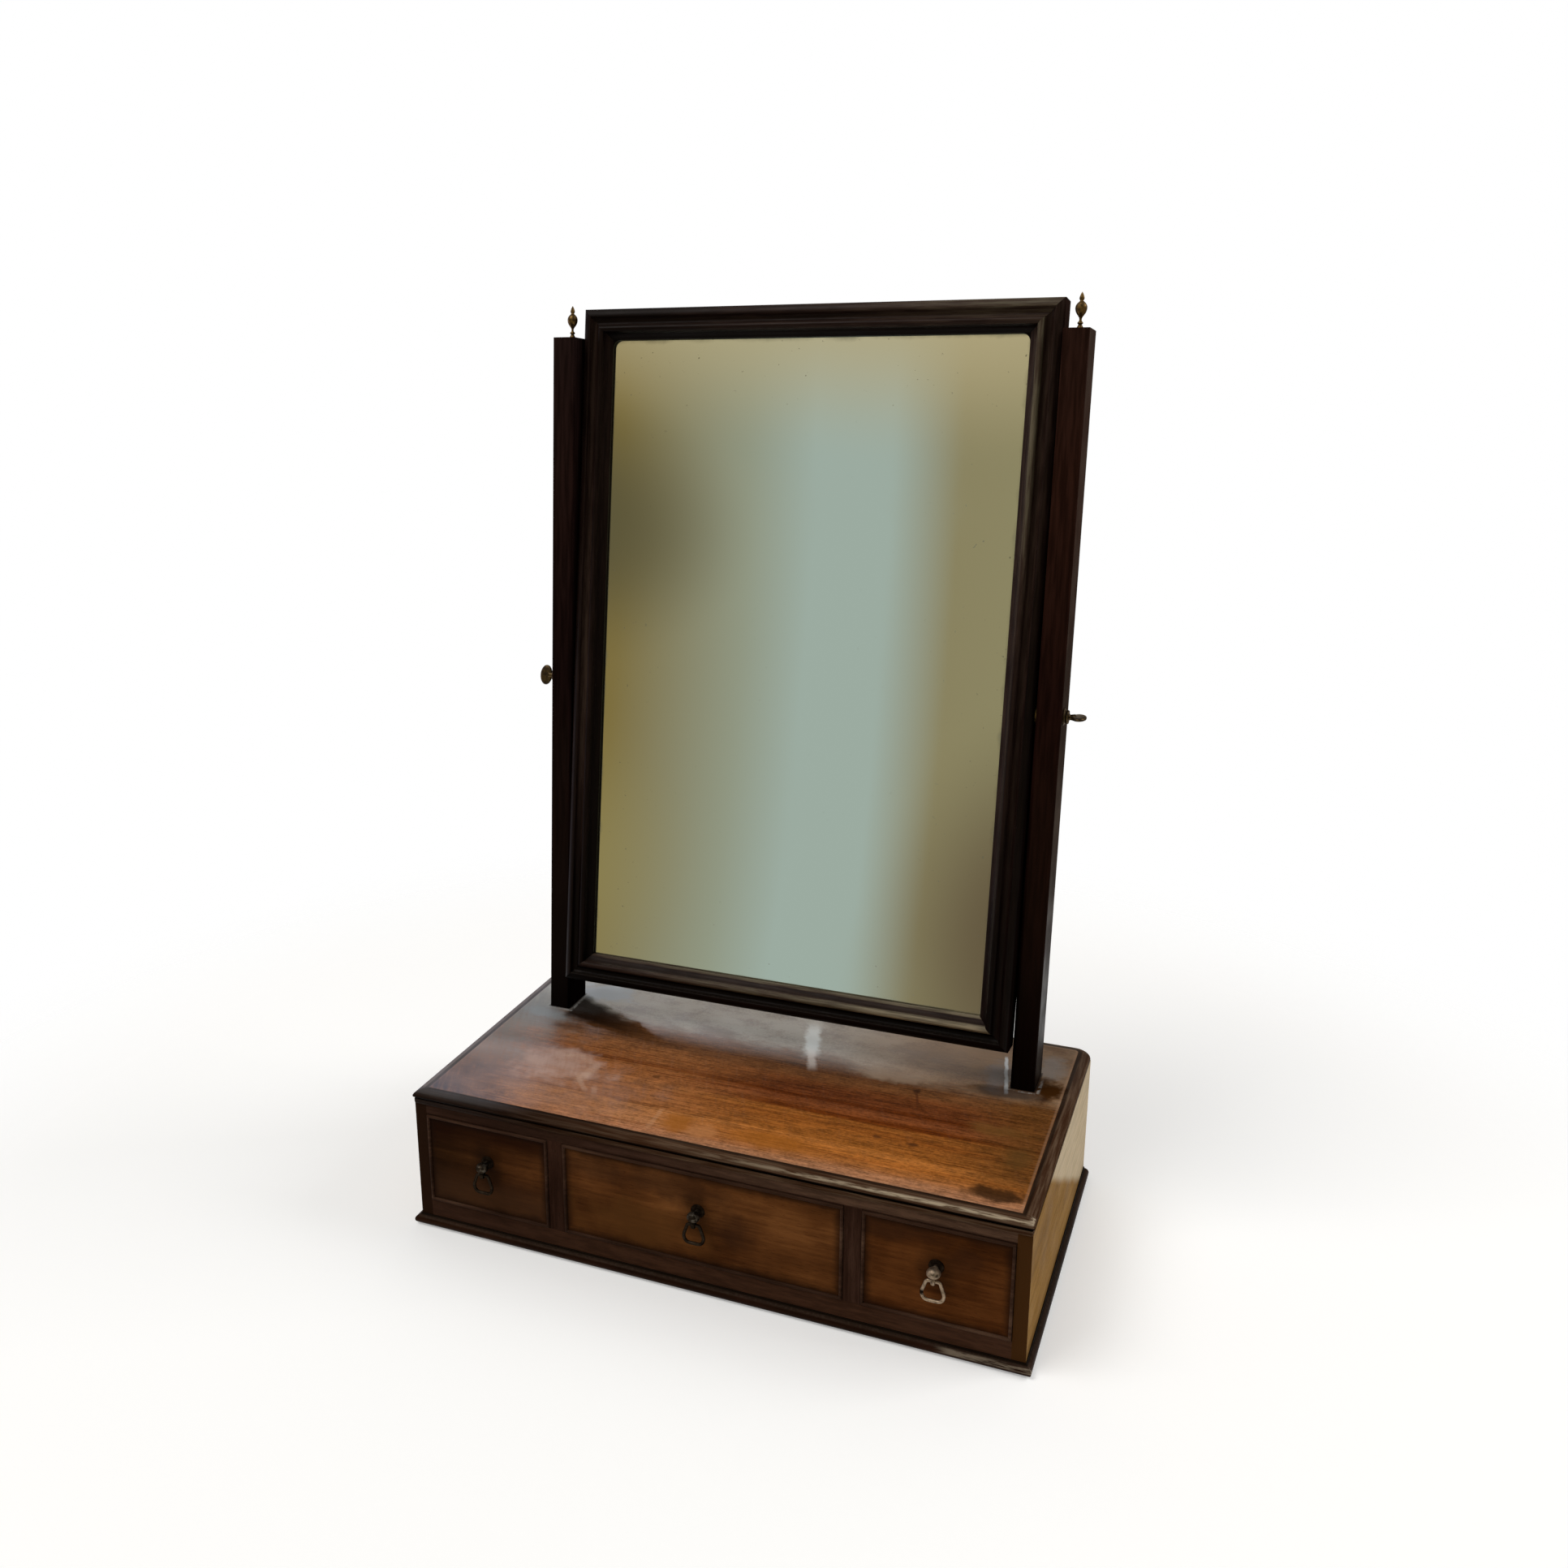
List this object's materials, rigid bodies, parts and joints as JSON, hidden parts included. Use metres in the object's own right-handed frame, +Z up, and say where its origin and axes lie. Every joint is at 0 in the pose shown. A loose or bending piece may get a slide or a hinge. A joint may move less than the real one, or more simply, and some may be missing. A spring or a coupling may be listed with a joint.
{
  "type": "dressing table mirror",
  "caption": "Swing mirror in a moulded frame on raked posts, over a low box with cock-beaded drawers and drop pulls.",
  "frame": {"origin": "on the table, under the middle of the whole object", "axes": "+X to the right seen from the front, +Y to the back, +Z up"},
  "size_m": [0.467, 0.2689, 0.678],
  "materials": {
    "mahogany_top": "waxed, worn",
    "mahogany_case": "waxed",
    "mahogany_drawers": "waxed",
    "mahogany_bead": "waxed",
    "dark_mahogany": "polished",
    "oak": "bare, old",
    "pine": "bare, darkened",
    "brass": "polished, a little dull",
    "aged_brass": "dull, tarnished",
    "silvered_glass": "old silvering"
  },
  "bodies": {
    "case": {"top_board": "mahogany_top", "left_side": "mahogany_case", "right_side": "mahogany_case", "back_board": "pine", "bottom_board": "pine", "front_bottom_rail": "mahogany_case", "front_top_rail": "mahogany_case", "left_partition": "mahogany_case", "right_partition": "mahogany_case", "plinth_front": "dark_mahogany", "plinth_left": "dark_mahogany", "plinth_right": "dark_mahogany", "glue_blocks": "pine", "drawer_stops": "pine", "left_post": "dark_mahogany", "right_post": "dark_mahogany", "left_finial": "brass", "right_finial": "brass", "left_pivot_bush": "brass", "right_pivot_bush": "brass"},
    "mirror": {"frame_top_rail": "dark_mahogany", "frame_bottom_rail": "dark_mahogany", "frame_left_stile": "dark_mahogany", "frame_right_stile": "dark_mahogany", "mirror_glass": "silvered_glass", "mirror_backboard": "pine", "glass_blocks": "pine", "left_pivot_plate": "brass", "right_pivot_plate": "brass"},
    "left_thumb_screw": {"left_thumb_screw": "brass"},
    "right_thumb_screw": {"right_thumb_screw": "brass"},
    "left_drawer": {"left_drawer_front": "mahogany_drawers", "left_cock_bead": "mahogany_bead", "left_drawer_left_side": "oak", "left_drawer_right_side": "oak", "left_drawer_back": "oak", "left_drawer_bottom": "oak", "left_pull_post": "aged_brass", "left_pull_nut": "aged_brass"},
    "left_bail": {"left_bail": "aged_brass"},
    "middle_drawer": {"middle_drawer_front": "mahogany_drawers", "middle_cock_bead": "mahogany_bead", "middle_drawer_left_side": "oak", "middle_drawer_right_side": "oak", "middle_drawer_back": "oak", "middle_drawer_bottom": "oak", "middle_pull_post": "aged_brass", "middle_pull_nut": "aged_brass"},
    "middle_bail": {"middle_bail": "aged_brass"},
    "right_drawer": {"right_drawer_front": "mahogany_drawers", "right_cock_bead": "mahogany_bead", "right_drawer_left_side": "oak", "right_drawer_right_side": "oak", "right_drawer_back": "oak", "right_drawer_bottom": "oak", "right_pull_post": "aged_brass", "right_pull_nut": "aged_brass"},
    "right_bail": {"right_bail": "aged_brass"}
  },
  "joints": [
    {"name": "mirror_tilt", "type": "hinge", "parent": "case", "child": "mirror", "pos_m": [0, 0.08021, 0.39102], "axis": [1, 0, 0], "range_deg": [-157, 170]},
    {"name": "left_thumb_screw_turn", "type": "hinge", "parent": "mirror", "child": "left_thumb_screw", "pos_m": [-0.211, 0.08021, 0.39102], "axis": [1, 0, 0], "continuous": true},
    {"name": "right_thumb_screw_turn", "type": "hinge", "parent": "mirror", "child": "right_thumb_screw", "pos_m": [0.211, 0.08021, 0.39102], "axis": [1, 0, 0], "continuous": true},
    {"name": "left_drawer_slide", "type": "slide", "parent": "case", "child": "left_drawer", "axis": [0, -1, 0], "range_m": [0, 0.17]},
    {"name": "left_bail_swing", "type": "hinge", "parent": "left_drawer", "child": "left_bail", "pos_m": [-0.1685, -0.12975, 0.0595], "axis": [-1, 0, 0], "range_deg": [-27, 90]},
    {"name": "middle_drawer_slide", "type": "slide", "parent": "case", "child": "middle_drawer", "axis": [0, -1, 0], "range_m": [0, 0.17]},
    {"name": "middle_bail_swing", "type": "hinge", "parent": "middle_drawer", "child": "middle_bail", "pos_m": [0, -0.12975, 0.0595], "axis": [-1, 0, 0], "range_deg": [-27, 90]},
    {"name": "right_drawer_slide", "type": "slide", "parent": "case", "child": "right_drawer", "axis": [0, -1, 0], "range_m": [0, 0.17]},
    {"name": "right_bail_swing", "type": "hinge", "parent": "right_drawer", "child": "right_bail", "pos_m": [0.1685, -0.12975, 0.0595], "axis": [-1, 0, 0], "range_deg": [-27, 90]}
  ]
}
